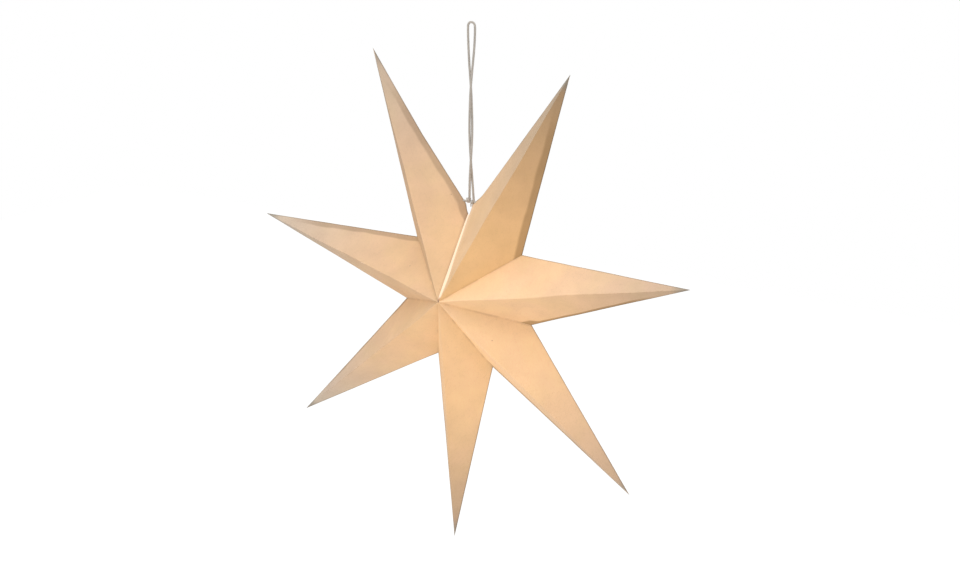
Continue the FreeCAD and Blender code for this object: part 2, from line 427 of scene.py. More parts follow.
def paper_marks(graph, place):
    """Mottle, long fibres, fine grain and flecks of handmade paper, each from 0 to 1."""
    mottle = graph.noise(place, scale=34.0, detail=4.0, roughness=0.55)
    drawn = graph.stretched(place, (1.0, 1.0, 0.45))
    line = abs(graph.noise(drawn, scale=240.0, detail=3.0, roughness=0.55) - 0.5)
    fibre = graph.near(line, reach=0.022)
    grain = graph.noise(place, scale=1500.0, detail=3.0, roughness=0.6)
    cell = graph.add("TexVoronoi", {}, {"Vector": place, "Scale": 52.0})
    kept = graph.step(graph.add("SeparateXYZ", {}, {0: cell.other("Color")}), low=0.52, high=0.56)
    fleck = graph.near(cell, core=0.02, reach=0.055) * kept
    return mottle, fibre, grain, fleck


# How much each mark darkens the paper's colour, and the lamp's light through it. In the colour the
# strip is painted shade of the doubled strip; the fold line darkens it along the side fold and the
# ridge line lightens it along the ridge
DARKER_PAPER = {"strip": 0.12, "fold_line": 0.35, "ridge_line": -0.04}
DARKER_LIGHT = {"fibre": 0.10, "fleck": 0.60, "near_tip": 0.80, "fold_line": 0.65}
# How far the cool share turns the two front flanks towards grey and brown, as painted cool and warm
# light
PAINTED_HUE_PER_COOL = 1.5


class PointPaper:
    """Fibre paper of one point, with the lamp's light behind it. Its fields go from 0 to 1."""

    def __init__(self, number, look, middle, tip):
        self.look = look
        self.finish = bpy.context.scene.paper_finish
        self.graph = graph = Graph(f"star_paper_{number + 1}")
        self.place = place = graph.add("TexCoord", output="Object")
        self.mottle, self.fibre, self.grain, self.fleck = paper_marks(graph, place)
        edges = graph.add("SeparateXYZ", {}, {0: graph.add("UVMap", {"uv_map": "edges"})})
        valley = graph.add("SeparateXYZ", {}, {0: graph.add("UVMap", {"uv_map": "valley"})})
        self.clockwise, self.counter, self.wall = [
            graph.near(abs(valley.other("Y") - zone), core=ZONE_CORE, reach=ZONE_EDGE)
            for zone in (FRONT_CLOCKWISE, FRONT_COUNTER, WALL)]
        self.side = self.clockwise if look.shade_side > 0 else self.counter
        self.from_fold = edges.other("Y")
        self.from_valley = valley.other("X")
        self.fold_line = graph.near(self.from_fold, reach=0.0018)
        self.ridge_line = graph.near(edges.other("X"), reach=0.0014)
        # Painted shade along the valleys, broken into patches
        patchy_shade = graph.step(graph.noise(place, scale=75.0, detail=1.0), low=0.40, high=0.60)
        line = graph.near(self.from_valley, core=0.0004, reach=0.0028)
        self.valley_line = line * from_least(0.25, patchy_shade)
        self.valley = self.beside_valley(look.shade_width)
        ends = {0: place, 1: middle}
        radius = graph.add("VectorMath", {"operation": "DISTANCE"}, ends, "Value")
        far = radius / (tip - middle).length
        self.near_hub = graph.near(far, core=self.finish.glow_from, reach=self.finish.glow_to)
        self.near_tip = graph.step(far, low=0.915, high=0.970)
        self.on_axis = graph.near_axis(place, middle)
        self.strip = self.tab_strip(far)

    def beside_valley(self, width):
        """The band of a width beside the valley, on the flank that the look names."""
        return self.graph.near(self.from_valley, reach=width) * self.side

    def tab_strip(self, far):
        """Strip along the clockwise side fold, where the glue tab doubles the paper. Its darker,
        browner colour is painted shade of the tab, which keeps back the lamp's light.
        """
        graph = self.graph
        stray = (graph.noise(self.place, scale=28.0, detail=1.0) - 0.5) * self.finish.strip_stray
        wedge = graph.near(far, core=0.30, reach=0.34) * self.look.strip_wedge
        tab = bpy.context.scene.star_sizes.side_tab * (self.look.strip_width + wedge)
        strip = graph.near(self.from_fold + stray, core=tab * 0.75, reach=tab * 1.15)
        return strip * self.clockwise * graph.near(far, core=0.70, reach=0.90)

    def darkened(self, factor, amounts):
        """A factor made smaller by an amount where each named mark lies."""
        for mark, amount in amounts.items():
            factor = factor * (1 - amount * getattr(self, mark))
        return factor

    def tint(self):
        """The paper's colour: each layer has its place, its strength and its colour. The flank
        layers are painted cool and warm light; the strip's brown, the lighter and darker flanks and
        the darkening along the valleys are painted shade.
        """
        look = self.look
        finish = self.finish
        # Painted light: one front flank takes the grey tip colour as cool light, the other the
        # strip's brown as warm light
        painted_hue = PAINTED_HUE_PER_COOL * abs(look.cool)
        flanks = (self.counter, self.clockwise)
        painted_cool_flank, painted_warm_flank = flanks if look.cool > 0 else reversed(flanks)
        patch = self.graph.step(self.graph.noise(self.place, scale=30.0), low=0.35, high=0.65)
        layers = (
            (self.fibre, 0.18, finish.fibre),
            (patch, 0.35, toned(finish.straw, look.tone)),
            (painted_cool_flank, painted_hue, finish.tip),
            (painted_warm_flank, painted_hue, finish.strip),
            (self.strip, look.painted_strip_brown, finish.strip),
            (self.fleck, 0.55, finish.fibre),
            (self.near_tip, look.tip_grey, finish.tip),
        )
        paper = toned(finish.paper, look.tone)
        for field, strength, layer in layers:
            paper = self.graph.mix(field * strength, paper, layer)
        # Painted shade: one front flank is made lighter and the other darker, as light falls on
        # them
        shade = varied(self.mottle, 0.22) * varied(self.grain, 0.08) * self.painted_flank_shade()
        shade = self.darkened(shade, DARKER_PAPER)
        # Painted shade along the valleys and beside one valley
        shade = self.darkened(shade, {"valley_line": 0.50 * look.valley_shade,
                                      "valley": 0.45 * look.shade})
        return self.graph.scaled(paper, shade)

    def painted_flank_shade(self):
        """Factor of painted shade that makes one front flank lighter and the other darker."""
        return 1 + self.look.painted_flank_shade * (self.counter - self.clockwise)

    def light(self):
        """Lamp light through the paper: warm round the hub, cooler at the tip."""
        look = self.look
        finish = self.finish
        warm = self.near_hub * (1 - look.cool * self.counter)
        glow = self.graph.mix(warm, toned(finish.tip_glow, look.tip_glow),
                              toned(finish.hub_glow, look.glow))
        thin = self.darkened(varied(self.mottle, 0.30) * self.painted_flank_shade(), DARKER_LIGHT)
        thin = self.darkened(thin, {"strip": finish.strip_shade,
                                    "valley_line": look.valley_shade, "valley": look.shade})
        glow = self.graph.scaled(glow, thin)
        lit_edge = self.beside_valley(look.slit_width) * look.slit
        glow = self.graph.mix(lit_edge, glow, finish.inside_glow)
        return self.graph.mix(self.wall * (1 - self.on_axis), glow, finish.inside_glow)

    def material(self):
        """The point's material, with its marks in relief."""
        height = self.grain * 0.5 + self.fibre * 0.35 + self.mottle * 0.8
        return self.graph.surface(self.tint(), 0.80 + 0.12 * self.grain, height,
                                  bump=(0.45, 0.0003), glow=self.light(),
                                  constants={"Specular IOR Level": 0.25})


def inside_material(middle):
    """The sheets' inner face, lit by the lamp."""
    finish = bpy.context.scene.paper_finish
    graph = Graph("star_paper_inside")
    place = graph.add("TexCoord", output="Object")
    mottle, fibre, grain, fleck = paper_marks(graph, place)
    paper = graph.mix(fibre * 0.3, finish.paper, finish.fibre)
    hub = graph.near_axis(place, middle)
    glow = graph.scaled(graph.mix(fleck, finish.inside_glow, finish.hub_glow),
                        (0.7 + 0.3 * mottle) * (1 - 0.9 * hub))
    return graph.surface(graph.mix(fleck * 0.5, paper, finish.fibre), 0.80 + 0.12 * grain, grain,
                         bump=(0.3, 0.0003), glow=glow)


def cord_material():
    """Undyed twisted yarn with fine fibres along it."""
    cord = bpy.context.scene.cord_sizes
    graph = Graph("cord_yarn")
    place = graph.add("TexCoord", output="Object")
    drawn = graph.stretched(place, (1.0, 1.0, 0.5))
    fine = graph.noise(drawn, scale=2600.0, detail=3.0, roughness=0.6)
    yarn = graph.mix(graph.step(fine, low=0.35, high=0.7), cord.yarn_dark, cord.yarn)
    tint = graph.scaled(yarn, varied(graph.noise(place, scale=60.0), 0.3))
    return graph.surface(tint, 0.78 + 0.15 * fine, fine, bump=(0.5, 0.0002),
                         constants={"Sheen Weight": 0.15})


def steel_material():
    """Drawn steel wire with faint lines along it."""
    graph = Graph("drawn_steel")
    place = graph.add("TexCoord", output="Object")
    drawn = graph.noise(graph.stretched(place, (1.0, 1.0, 0.04)), scale=6000.0)
    tint = graph.scaled(bpy.context.scene.lamp_finish.steel, varied(drawn, 0.2))
    return graph.surface(tint, 0.26 + 0.12 * drawn, drawn, bump=(0.2, 0.00005),
                         constants={"Metallic": 1.0})


def plastic_material():
    """Fine-grained moulded plastic."""
    graph = Graph("moulded_plastic")
    place = graph.add("TexCoord", output="Object")
    grain = graph.noise(place, scale=2200.0)
    patch = graph.noise(place, scale=90.0)
    tint = graph.scaled(bpy.context.scene.lamp_finish.housing, varied(patch, 0.1))
    return graph.surface(tint, 0.42 + 0.14 * grain, grain, bump=(0.25, 0.0001))


def globe_material():
    """Frosted globe that glows, a little less towards its neck."""
    lamp = bpy.context.scene.lamp_finish
    low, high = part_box("lamp_globe")
    graph = Graph("frosted_globe")
    place = graph.add("TexCoord", output="Object")
    height = graph.add("SeparateXYZ", {}, {0: place}).other("Z")
    neck = graph.step(height, (low[2] + high[2]) / 2, high[2])
    frost = graph.noise(place, scale=1800.0)
    return graph.surface(graph.scaled(lamp.globe, varied(frost, 0.12)), 0.5 + 0.2 * frost, frost,
                         bump=(0.2, 0.0001), glow=graph.scaled(lamp.globe_glow, 1 - 0.45 * neck))


@dataclass
class PointLook:
    """How one point's paper, and the light and shade painted on it, differ from the others."""

    tone: float  # lightness of the paper's colour
    glow: float  # lightness of the glow at the hub
    tip_glow: float = 0.0  # lightness of the cooler glow at the tip
    tip_grey: float = 0.85  # how grey the paper turns at the tip
    painted_flank_shade: float = 0.0  # painted shade: how much lighter the counter-clockwise front flank is, and the clockwise one darker
    cool: float = 0.0  # painted light: how much cooler that flank is, and the other front flank warmer
    shade: float = 0.0  # painted shade along the valley on one flank
    shade_side: int = 1  # that flank: clockwise (1) or the other (-1)
    shade_width: float = 0.012  # width of that shade in metres
    slit: float = 0.0  # light along the slit's edge on the same flank
    slit_width: float = 0.004  # width of that light in metres
    strip_width: float = 1.0  # width of the doubled strip, in tabs
    strip_wedge: float = 0.0  # how much wider the strip is by the notch
    painted_strip_brown: float = 0.25  # how brown the painted shade of the strip is
    valley_shade: float = 0.22  # darkness of the painted shade line in the valleys


LOOKS = (
    PointLook(tone=0.80, glow=0.80, tip_glow=0.55, tip_grey=0.60, painted_flank_shade=-0.15, shade=0.3,
              shade_side=1, shade_width=0.004, strip_width=0.75),
    PointLook(tone=0.69, glow=1.32, painted_flank_shade=0.08, cool=0.30, slit=0.25, shade_side=-1,
              slit_width=0.006, strip_width=0.90, painted_strip_brown=0.8, valley_shade=0.15),
    PointLook(tone=1.08, glow=1.12, tip_grey=0.65, painted_flank_shade=0.06, cool=0.05, strip_width=0.40,
              strip_wedge=0.5, painted_strip_brown=0.8),
    PointLook(tone=1.17, glow=1.16, tip_grey=0.50, painted_flank_shade=-0.03, cool=-0.15, shade=0.16,
              shade_side=-1, shade_width=0.020),
    PointLook(tone=0.97, glow=1.17, tip_grey=0.50, cool=-0.15, shade=0.12,
              shade_side=-1, shade_width=0.022),
    PointLook(tone=0.88, glow=0.98, tip_glow=1.1, tip_grey=0.65, painted_flank_shade=0.05, cool=-0.03,
              shade=0.12, shade_side=1, shade_width=0.025, strip_width=0.40,
              valley_shade=0.12),
    PointLook(tone=0.89, glow=0.84, tip_glow=1.1, tip_grey=0.70, painted_flank_shade=-0.04, cool=0.05,
              strip_width=0.65),
)


class PointShape:
    """Fold lines of one point, from its tip to the star's middle."""

    def __init__(self, number, tips, middle, sizes):
        self.number = number
        self.middle = middle
        self.sizes = sizes
        self.tip = tips[number]
        self.tie_height = tie_middle().z
        ahead = tips[(number + 1) % POINTS]
        behind = tips[number - 1]
        self.walls = (self.wall(ahead, 1), self.wall(behind, -1))

    def wall(self, neighbour, side):
        """Hub end and corner of the wall towards a neighbouring point."""
        sizes = self.sizes
        between = (self.tip - self.middle).normalized() + (neighbour - self.middle).normalized()
        hub = self.middle.copy()
        corner = self.middle + between.normalized() * sizes.notch_radius
        if (self.number, side) == (0, 1):
            hub.x -= sizes.first_gap_hub
            corner.x -= sizes.first_gap_corner
        if (self.number, side) == (1, -1):
            hub.x += sizes.last_gap_hub
            corner += Vector((sizes.last_gap_corner, 0, sizes.last_corner_rise))
        return hub, corner

    def ridge_meets(self, wall, apex):
        """Share of the way from a ridge's hub end to its tip at which it meets a wall."""
        hub, corner = wall
        across = (corner - hub).cross(FRONT).normalized()
        slope = (self.tip - apex).dot(across)
        return max(0.0, (hub - apex).dot(across) / slope)

    def valley_lines(self, forward):
        """Ridge end and the two valley lines on the front (1) or the back (-1)."""
        sizes = self.sizes
        apex = self.middle + FRONT * (forward * sizes.half_depth)
        shares = [self.ridge_meets(wall, apex) for wall in self.walls]
        trim = sizes.hub_hole / (self.tip - self.middle).length
        ridge_end = apex.lerp(self.tip, max(trim, *shares))
        starts = [apex.lerp(self.tip, part) for part in shares]
        return ridge_end, starts


def flank_columns(count):
    """Shares across a flank, closer together towards both of its folds."""
    return [0.5 - 0.5 * math.cos(math.pi * step / count) for step in range(count + 1)]


def valley_place(shape, side, forward, part):
    """A place on a valley line, from its hub end (0) to the corner (1)."""
    ridge_end, starts = shape.valley_lines(forward)
    if part == 0:
        return ridge_end
    start = starts[side]
    corner = shape.walls[side][1]
    flat = Vector((start.x - corner.x, 0, start.z - corner.z)).length
    glued = (start - shape.middle).xz.length < shape.sizes.hub_hole
    least = shape.sizes.hub_hole / flat if glued else 0.0
    return start.lerp(corner, max(part, least))


def window_place(shape, side, forward, part):
    """A place on the inner edge of a valley tab."""
    sizes = shape.sizes
    hub, corner = shape.walls[side]
    reach = (corner - hub).length
    slope = math.atan2(sizes.half_depth, reach)
    depth = sizes.half_depth - sizes.valley_tab / math.cos(slope)
    outer = hub.lerp(corner, 1 - sizes.valley_tab / math.sin(slope) / reach)
    start = hub + FRONT * (forward * depth)
    return start.lerp(outer, max(part, sizes.hub_hole / reach))


def ring_layout(count):
    """Columns round a point: side (0 clockwise, 1 the other), front or back, share, zone."""
    shares = flank_columns(count)
    there = [(0, 1, part, FRONT_CLOCKWISE) for part in shares]
    there += [(0, -1, part, BACK_CLOCKWISE) for part in reversed(shares[:-1])]
    back = [(1, -1, part, BACK_COUNTER) for part in shares[1:]]
    back += [(1, 1, part, FRONT_COUNTER) for part in reversed(shares[1:-1])]
    return there + back


class PointMesh:
    """Vertices and faces of one folded sheet, with the zone of each face."""

    def __init__(self, shape):
        self.shape = shape
        self.layout = ring_layout(shape.sizes.columns)
        self.rows = shape.sizes.rows
        self.faces = []
        self.zones = []
        self.flat = [shape.tip]
        self.levels = [0.0]
        self.vertices = [bend_paper(shape, shape.tip, 0.0, self.layout[0])]
        base = [valley_place(shape, *column[:3]) for column in self.layout]
        for row in range(1, self.rows + 1):
            level = row / self.rows
            for place, column in zip(base, self.layout):
                self.flat.append(shape.tip.lerp(place, level))
                self.levels.append(level)
                self.vertices.append(bend_paper(shape, self.flat[-1], level, column))
        self.add_flanks()
        self.add_tabs()

    def at(self, row, column):
        """Number of the vertex in a row, counted from the tip, and in a column."""
        return 1 + (row - 1) * len(self.layout) + column % len(self.layout)

    def add_face(self, corners, zone):
        self.faces.append(corners)
        self.zones.append(zone)

    def add_flanks(self):
        """Four flanks: a triangle at the tip for each column, then its row of faces."""
        for column in range(len(self.layout)):
            zone = zone_between(self.layout, column)
            self.add_face((0, self.at(1, column), self.at(1, column + 1)), zone)
            for row in range(1, self.rows):
                self.add_face((self.at(row, column), self.at(row + 1, column),
                               self.at(row + 1, column + 1), self.at(row, column + 1)), zone)

    def add_tabs(self):
        """Tabs turned in along the valleys of both walls."""
        inner = [window_place(self.shape, *column[:3]) for column in self.layout]
        half = 2 * self.shape.sizes.columns
        for first in (1, half + 1):
            strip = range(first, first + half - 1)
            edge = {column: self.at(self.rows, column) for column in strip}
            for step in range(1, TAB_ROWS + 1):
                line = {}
                for column in strip:
                    line[column] = len(self.vertices)
                    start = self.vertices[self.at(self.rows, column)]
                    self.vertices.append(start.lerp(inner[column], step / TAB_ROWS))
                for column in strip[:-1]:
                    self.add_face((edge[column], line[column], line[column + 1],
                                   edge[column + 1]), WALL)
                edge = line


def add_thickness(piece, levels):
    """Card thickness behind the outer face. It grows from the tip on."""
    sizes = bpy.context.scene.star_sizes
    card = piece.vertex_groups.new(name="card")
    for vertex, level in enumerate(levels):
        card.add([vertex], min(1.0, level / sizes.thin_tip), "REPLACE")
    card.add(range(len(levels), len(piece.data.vertices)), 1.0, "REPLACE")
    solid = piece.modifiers.new("Paper thickness", "SOLIDIFY")
    solid.vertex_group = card.name
    solid.thickness = sizes.paper
    solid.offset = -1
    solid.material_offset = 1
    solid.material_offset_rim = 1


def star_point(number, tips, middle, materials):
    """One folded sheet: four flanks from the tip, and the tabs turned in at its walls."""
    sheet = PointMesh(PointShape(number, tips, middle, bpy.context.scene.star_sizes))
    name = f"folded_point_{number + 1}"
    piece = new_piece(name, sheet.vertices, sheet.faces, materials)
    add_paper_maps(piece.data, sheet)
    for edge in piece.data.edges:
        edge.use_edge_sharp = is_fold(edge.vertices, sheet)
    add_thickness(piece, sheet.levels)
    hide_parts(f"star_point_{number + 1}")


def zone_between(layout, column):
    """The flank that lies between a column and the next one."""
    side, forward, part, zone = layout[column]
    side_next, forward_next, _, zone_next = layout[(column + 1) % len(layout)]
    if side == side_next and forward == forward_next:
        return zone
    return zone_next if part in ON_FOLD else zone


def is_fold(ends, sheet):
    """Whether an edge lies on a ridge, a side fold or a valley."""
    around = len(sheet.layout)
    if max(ends) >= len(sheet.flat):
        return False
    if min(ends) >= sheet.at(sheet.rows, 0):
        return True
    columns = {(end - 1) % around for end in ends if end > 0}
    return len(columns) == 1 and columns.pop() % sheet.shape.sizes.columns == 0


def from_least(least, part):
    """A factor that rises from the least to 1 with a share."""
    return least + (1 - least) * part


def bell(distance, reach):
    """One at a distance of 0, and fading beyond the reach."""
    return math.exp(-(distance / reach) ** 2)


def bend_paper(shape, place, level, column):
    """A place on a flat flank, moved by the paper's waves and the fold's softness."""
    sizes = shape.sizes
    side, forward, part, _ = column
    apex = shape.middle + FRONT * (forward * sizes.half_depth)
    corner = shape.walls[side][1]
    outwards = (apex - shape.tip).cross(corner - shape.tip).normalized()
    if outwards.dot(shape.middle - shape.tip) > 0:
        outwards = -outwards
    off_valley = smooth(0.0, VALLEY_CALM, 1 - level)
    off_tip = smooth(0.0, TIP_CALM, level)
    off_folds = smooth(0.0, FOLD_CALM, part) * smooth(0.0, FOLD_CALM, 1 - part)
    seed = Vector([size * step for size, step in zip((shape.number, forward, side), WAVE_SEED)])
    wave = noise.noise(place * WAVES_PER_METRE + seed) * sizes.wave
    ripple = noise.noise(place * RIPPLES_PER_METRE + seed) * sizes.ripple
    calm = from_least(LEAST_AT_FOLD, off_folds) * off_valley * from_least(LEAST_AT_TIP, off_tip)
    moved = place + outwards * ((wave + ripple) * calm)
    if part in ON_FOLD:
        inwards = FRONT * -forward if part == 0 else (shape.middle - corner).normalized()
        moved += inwards * (sizes.fold_radius * smooth(0.0, SOFT_FROM_TIP, level) * off_valley)
    sideways = (shape.tip - shape.middle).normalized().cross(FRONT)
    stray = noise.noise(Vector((level * STRAYS_PER_POINT, shape.number * STRAY_SEED[0],
                                forward * STRAY_SEED[1])))
    near_ridge = (1 - part) ** 2
    moved += sideways * (stray * sizes.wander * near_ridge * off_valley * off_tip)
    return moved + tie_pull(shape, place, side, apex, corner)


def tie_pull(shape, place, side, apex, corner):
    """How far the tie draws the paper round the two tied corners towards the notch."""
    sizes = shape.sizes
    shift = 0.0
    if (shape.number, side) == (0, 0):
        height = place.z - shape.tie_height
        fade = bell(height, PULL_DROP * sizes.pull_reach)
        if height > 0:
            fade = max(0.0, 1 - height / sizes.pull_rise)
        inside = off_line(place, shape.tip, corner)
        shift = sizes.first_pull * fade * bell(inside, PULL_DEPTH * sizes.pull_reach)
    if (shape.number, side) == (1, 1):
        valley = corner - apex
        along = max(0.0, (place - apex).dot(valley) / valley.length_squared)
        shift = sizes.slit_bow * bell(along - BOW_PLACE, BOW_REACH)
        shift -= sizes.slit_pinch * smooth(*PINCH_STARTS, along) * smooth(*PINCH_ENDS, along)
        shift -= sizes.last_pull * along ** LAST_PULL_POWER
        shift *= bell(off_line(place, apex, corner), sizes.pull_reach)
    return Vector((shift, 0, 0))


def add_paper_maps(mesh, sheet):
    """Two maps: distances from ridge and side fold, then from the valley, with the zone."""
    edges = mesh.uv_layers.new(name="edges")
    valley = mesh.uv_layers.new(name="valley")
    shape = sheet.shape
    loop = 0
    for face, zone in zip(sheet.faces, sheet.zones):
        side = 0 if zone in (FRONT_CLOCKWISE, BACK_CLOCKWISE) else 1
        forward = 1 if zone in (FRONT_CLOCKWISE, FRONT_COUNTER) else -1
        apex = shape.middle + FRONT * (forward * shape.sizes.half_depth)
        corner = shape.walls[side][1]
        for vertex in face:
            far_off = (1.0, 1.0)
            at_valley = 0.0
            if zone != WALL:
                place = sheet.flat[vertex]
                far_off = (off_line(place, shape.tip, apex), off_line(place, shape.tip, corner))
                at_valley = off_line(place, apex, corner)
            edges.data[loop].uv = far_off
            valley.data[loop].uv = (at_valley, zone)
            loop += 1


def even_line(places, spacing):
    """Places at even spacing along a line of places."""
    lengths = [0.0]
    for first, second in zip(places, places[1:]):
        lengths.append(lengths[-1] + (second - first).length)
    count = max(2, round(lengths[-1] / spacing))
    line = []
    span = 0
    for step in range(count + 1):
        target = lengths[-1] * step / count
        while span < len(lengths) - 2 and lengths[span + 1] < target:
            span += 1
        part = (target - lengths[span]) / max(lengths[span + 1] - lengths[span], 1e-9)
        line.append(places[span].lerp(places[span + 1], part))
    return line


def line_frames(line, closed=False):
    """Direction and two crossways vectors at each place of a line, turned as little as can be."""
    frames = []
    across = None
    count = len(line)
    for step in range(count):
        ahead = line[(step + 1) % count] if closed or step < count - 1 else line[step]
        behind = line[step - 1] if closed or step > 0 else line[step]
        along = (ahead - behind).normalized()
        if across is None:
            across = along.orthogonal()
        across = (across - along * across.dot(along)).normalized()
        frames.append((along, across, along.cross(across)))
    return frames


# A tube's rounded end as a share of its radius, and a knot's rise as a share of its yarn
CAP = 0.6
KNOT_RISE = 1.03

# Places round a knot, and in each turn of a wrap
KNOT_STEPS = 72
WRAP_STEPS = 20


class Tubes:
    """Vertices and faces of round tubes that make up one mesh."""

    def __init__(self):
        self.vertices = []
        self.faces = []

    def ring(self, place, across, over, radius, sides):
        """A ring of vertices round a place. Gives the number of its first."""
        first = len(self.vertices)
        for step in range(sides):
            turn = 2 * math.pi * step / sides
            self.vertices.append(place + (across * math.cos(turn) + over * math.sin(turn)) * radius)
        return first

    def join(self, first, second, sides, shift=0):
        """Faces between two rings."""
        for step in range(sides):
            after = (step + 1) % sides
            self.faces.append((first + step, first + after, second + (after + shift) % sides,
                               second + (step + shift) % sides))

    def tube(self, line, radius, sides=8):
        """An open line as a tube with rounded ends."""
        frames = line_frames(line)
        cap = radius * CAP
        places = [line[0] - frames[0][0] * cap, *line, line[-1] + frames[-1][0] * cap]
        radii = [cap] + [radius] * len(line) + [cap]
        rings = [self.ring(place, across, over, size, sides) for place, (_, across, over), size
                 in zip(places, [frames[0], *frames, frames[-1]], radii)]
        for first, second in zip(rings, rings[1:]):
            self.join(first, second, sides)
        self.faces.append(tuple(reversed(range(rings[0], rings[0] + sides))))
        self.faces.append(tuple(range(rings[-1], rings[-1] + sides)))

    def loop(self, line, radius, sides=8):
        """A closed line as a tube, its last ring turned to meet its first."""
        frames = line_frames(line, closed=True)
        rings = [self.ring(place, across, over, radius, sides)
                 for place, (_, across, over) in zip(line, frames)]
        for first, second in zip(rings, rings[1:]):
            self.join(first, second, sides)
        _, across, over = frames[0]
        _, last_across, _ = frames[-1]
        turn = math.atan2(last_across.dot(over), last_across.dot(across))
        self.join(rings[-1], rings[0], sides, round(turn * sides / (2 * math.pi)))

    def rope(self, line, diameter, pitch, plies=5, spacing=0.0007, sides=6):
        """Plies twisted round a core, as thick together as the rope."""
        line = even_line(line, spacing)
        frames = line_frames(line)
        share_of_ply = math.sin(math.pi / plies)
        ply = diameter / 2 * share_of_ply / (1 + share_of_ply)
        offset = diameter / 2 - ply
        self.tube(line, offset - ply, sides)
        for strand in range(plies):
            places = []
            for step, (place, (_, across, over)) in enumerate(zip(line, frames)):
                turn = 2 * math.pi * (strand / plies + step * spacing / pitch)
                places.append(place + (across * math.cos(turn) + over * math.sin(turn)) * offset)
            self.tube(places, ply, sides)

    def knot(self, middle, diameter, yarn):
        """A tight trefoil knot of yarn."""
        size = (diameter / 2 - yarn) / 3
        rise = yarn * KNOT_RISE
        places = []
        for step in range(KNOT_STEPS):
            turn = 2 * math.pi * step / KNOT_STEPS
            places.append(middle + Vector((
                -rise * math.sin(3 * turn),
                size * (math.sin(turn) + 2 * math.sin(2 * turn)),
                size * (math.cos(turn) - 2 * math.cos(2 * turn)),
            )))
        self.loop(places, yarn)

    def wrap(self, middle, diameter, width, yarn):
        """Turns of yarn round the X axis through a place."""
        radius = diameter / 2 - yarn
        span = width - 2 * yarn
        turns = span / (2 * yarn)
        steps = WRAP_STEPS * math.ceil(turns)
        places = []
        for step in range(steps + 1):
            part = step / steps
            turn = 2 * math.pi * turns * part
            places.append(middle + Vector(((part - 0.5) * span, radius * math.sin(turn),
                                           radius * math.cos(turn))))
        self.tube(places, yarn)


def smooth_route(points):
    """Places along the smooth spline that has the route's points as its control points."""
    curve = bpy.data.curves.new("cord_route", "CURVE")
    curve.dimensions = "3D"
    spline = curve.splines.new("NURBS")
    spline.points.add(len(points) - 1)
    for point, place in zip(spline.points, points):
        point.co = (*place, 1.0)
    spline.order_u = 3
    spline.use_endpoint_u = True
    spline.resolution_u = 12
    route = bpy.data.objects.new("cord_route", curve)
    mesh = bpy.data.meshes.new_from_object(route)
    places = [vertex.co.copy() for vertex in mesh.vertices]
    bpy.data.meshes.remove(mesh)
    bpy.data.objects.remove(route)
    bpy.data.curves.remove(curve)
    return places


def tie_middle():
    """Place on the tie above the star's middle."""
    star = bpy.context.scene.star_sizes
    cord = bpy.context.scene.cord_sizes
    return star_middle() + UP * (star.notch_radius + cord.tie_above_notch)


# Soft lamps by name: place from the star's middle and size in metres, and colour
SOFT_LAMPS = {
    "overhead": ((-0.5, -0.5, 2.2), 2.4, (1.0, 0.985, 0.96)),
    "left": ((-2.2, -1.4, 0.9), 1.6, (0.88, 0.94, 1.0)),
    "right": ((1.9, -1.9, -0.5), 1.6, (1.0, 0.96, 0.90)),
}

# The camera's film in mm and how far it sees, and the floor's grey and how far it is lifted
FILM_WIDTH_MM = 36
VIEW_END = 100
WHITE = (1, 1, 1)
PALE = (0.82, 0.82, 0.82)
FLOOR_LIFT = 0.45


